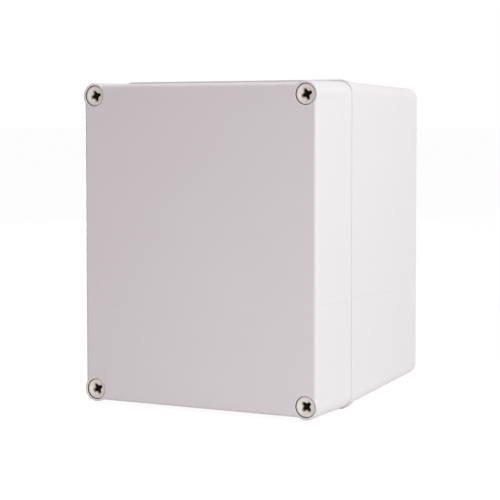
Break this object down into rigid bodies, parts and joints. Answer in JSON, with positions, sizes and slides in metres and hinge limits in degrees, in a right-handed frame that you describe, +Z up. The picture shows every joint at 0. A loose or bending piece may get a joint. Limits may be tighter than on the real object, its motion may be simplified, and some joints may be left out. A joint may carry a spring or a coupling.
{
  "type": "plastic project box",
  "caption": "Deep screw-lid plastic project box for wall mounting: a tub-shaped base with a sealed rim, a deep lid and captive corner screws.",
  "frame": {"origin": "middle of the underside of the box as it stands, on the plane that the rim stands on", "axes": "+Z up along the long side, +X to the right seen from the lid, the lid faces -Y and the wall lies towards +Y"},
  "size_m": [0.16, 0.176, 0.2],
  "materials": {
    "shell": "moulded ABS, fine satin",
    "seal": "closed-cell rubber cord",
    "screw": "moulded nylon",
    "keeper": "moulded nylon",
    "insert": "turned and knurled"
  },
  "bodies": {
    "base": {"base": "shell", "gasket": "seal", "plate_insert_top_left": "insert", "plate_insert_top_right": "insert", "plate_insert_bottom_left": "insert", "plate_insert_bottom_right": "insert"},
    "lid": {"lid": "shell"},
    "keeper_top_left": {"screw_keeper_top_left": "keeper"},
    "screw_top_left": {"lid_screw_top_left": "screw"},
    "keeper_top_right": {"screw_keeper_top_right": "keeper"},
    "screw_top_right": {"lid_screw_top_right": "screw"},
    "keeper_bottom_left": {"screw_keeper_bottom_left": "keeper"},
    "screw_bottom_left": {"lid_screw_bottom_left": "screw"},
    "keeper_bottom_right": {"screw_keeper_bottom_right": "keeper"},
    "screw_bottom_right": {"lid_screw_bottom_right": "screw"}
  },
  "joints": [
    {"name": "lid_lift", "type": "slide", "parent": "base", "child": "lid", "axis": [0, -1, 0], "range_m": [0, 0.12]},
    {"name": "screw_out_top_left", "type": "slide", "parent": "lid", "child": "keeper_top_left", "axis": [0, -1, 0], "range_m": [0, 0.009]},
    {"name": "screw_turn_top_left", "type": "hinge", "parent": "keeper_top_left", "child": "screw_top_left", "pos_m": [-0.0706, 0, 0.1906], "axis": [0, -1, 0], "range_deg": [0, 1080]},
    {"name": "screw_out_top_right", "type": "slide", "parent": "lid", "child": "keeper_top_right", "axis": [0, -1, 0], "range_m": [0, 0.009]},
    {"name": "screw_turn_top_right", "type": "hinge", "parent": "keeper_top_right", "child": "screw_top_right", "pos_m": [0.0706, 0, 0.1906], "axis": [0, -1, 0], "range_deg": [0, 1080]},
    {"name": "screw_out_bottom_left", "type": "slide", "parent": "lid", "child": "keeper_bottom_left", "axis": [0, -1, 0], "range_m": [0, 0.009]},
    {"name": "screw_turn_bottom_left", "type": "hinge", "parent": "keeper_bottom_left", "child": "screw_bottom_left", "pos_m": [-0.0706, 0, 0.0094], "axis": [0, -1, 0], "range_deg": [0, 1080]},
    {"name": "screw_out_bottom_right", "type": "slide", "parent": "lid", "child": "keeper_bottom_right", "axis": [0, -1, 0], "range_m": [0, 0.009]},
    {"name": "screw_turn_bottom_right", "type": "hinge", "parent": "keeper_bottom_right", "child": "screw_bottom_right", "pos_m": [0.0706, 0, 0.0094], "axis": [0, -1, 0], "range_deg": [0, 1080]}
  ],
  "couplings": [
    {"joint": "screw_turn_top_left", "follows": "screw_out_top_left", "rad_per_m": 2094.4},
    {"joint": "screw_turn_top_right", "follows": "screw_out_top_right", "rad_per_m": 2094.4},
    {"joint": "screw_turn_bottom_left", "follows": "screw_out_bottom_left", "rad_per_m": 2094.4},
    {"joint": "screw_turn_bottom_right", "follows": "screw_out_bottom_right", "rad_per_m": 2094.4}
  ]
}
